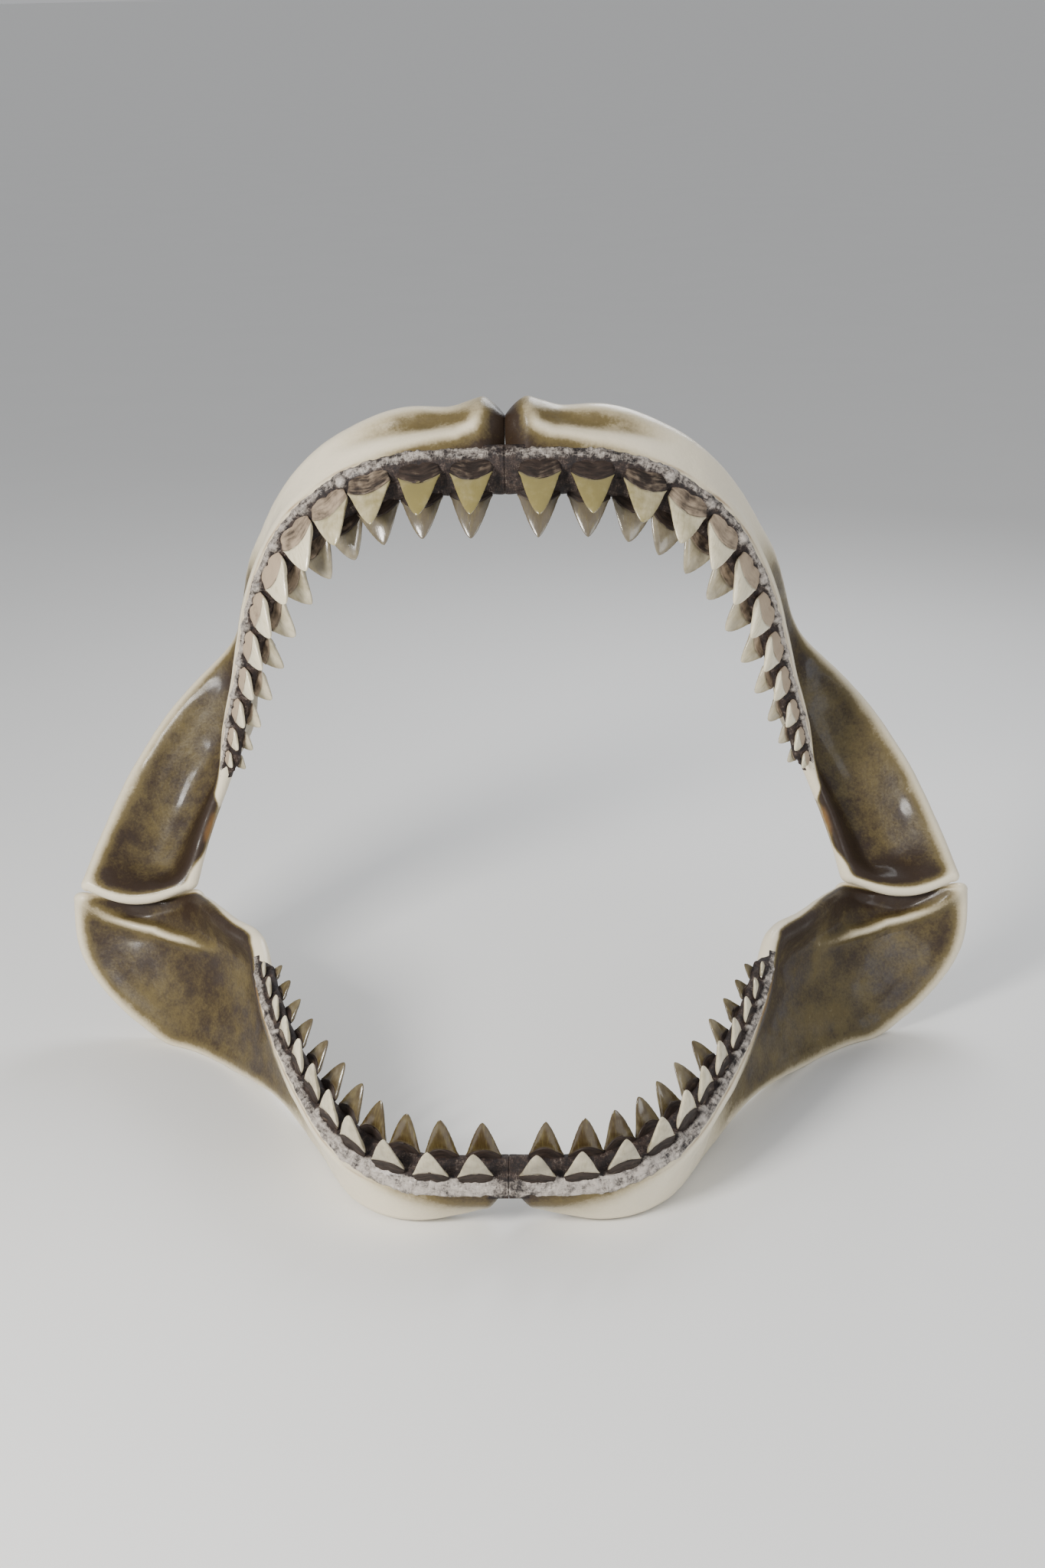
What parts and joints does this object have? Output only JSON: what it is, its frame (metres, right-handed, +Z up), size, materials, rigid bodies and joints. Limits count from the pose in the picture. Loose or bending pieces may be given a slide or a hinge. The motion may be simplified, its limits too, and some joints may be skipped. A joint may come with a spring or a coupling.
{
  "type": "shark jaw",
  "caption": "Open jaws of a giant extinct shark: curved cartilages with broad triangular teeth in standing rows, resting on the lower jaw.",
  "frame": {"origin": "on the floor, below the middle of the model's box", "axes": "+Z up, the mouth opens towards -Y, +X is the viewer's right from the front"},
  "size_m": [2.4064, 1.48, 1.7286],
  "materials": {
    "cartilage": "satin cream with brown staining in the hollows",
    "teeth": "polished cream enamel",
    "roots": "dull brown-grey, finely streaked",
    "gum": "dried, fibrous"
  },
  "bodies": {
    "root": {"upper_jaw_right": "cartilage", "upper_jaw_left": "cartilage", "lower_jaw_right": "cartilage", "lower_jaw_left": "cartilage", "upper_teeth_right": "teeth", "upper_teeth_left": "teeth", "lower_teeth_right": "teeth", "lower_teeth_left": "teeth"}
  },
  "joints": []
}
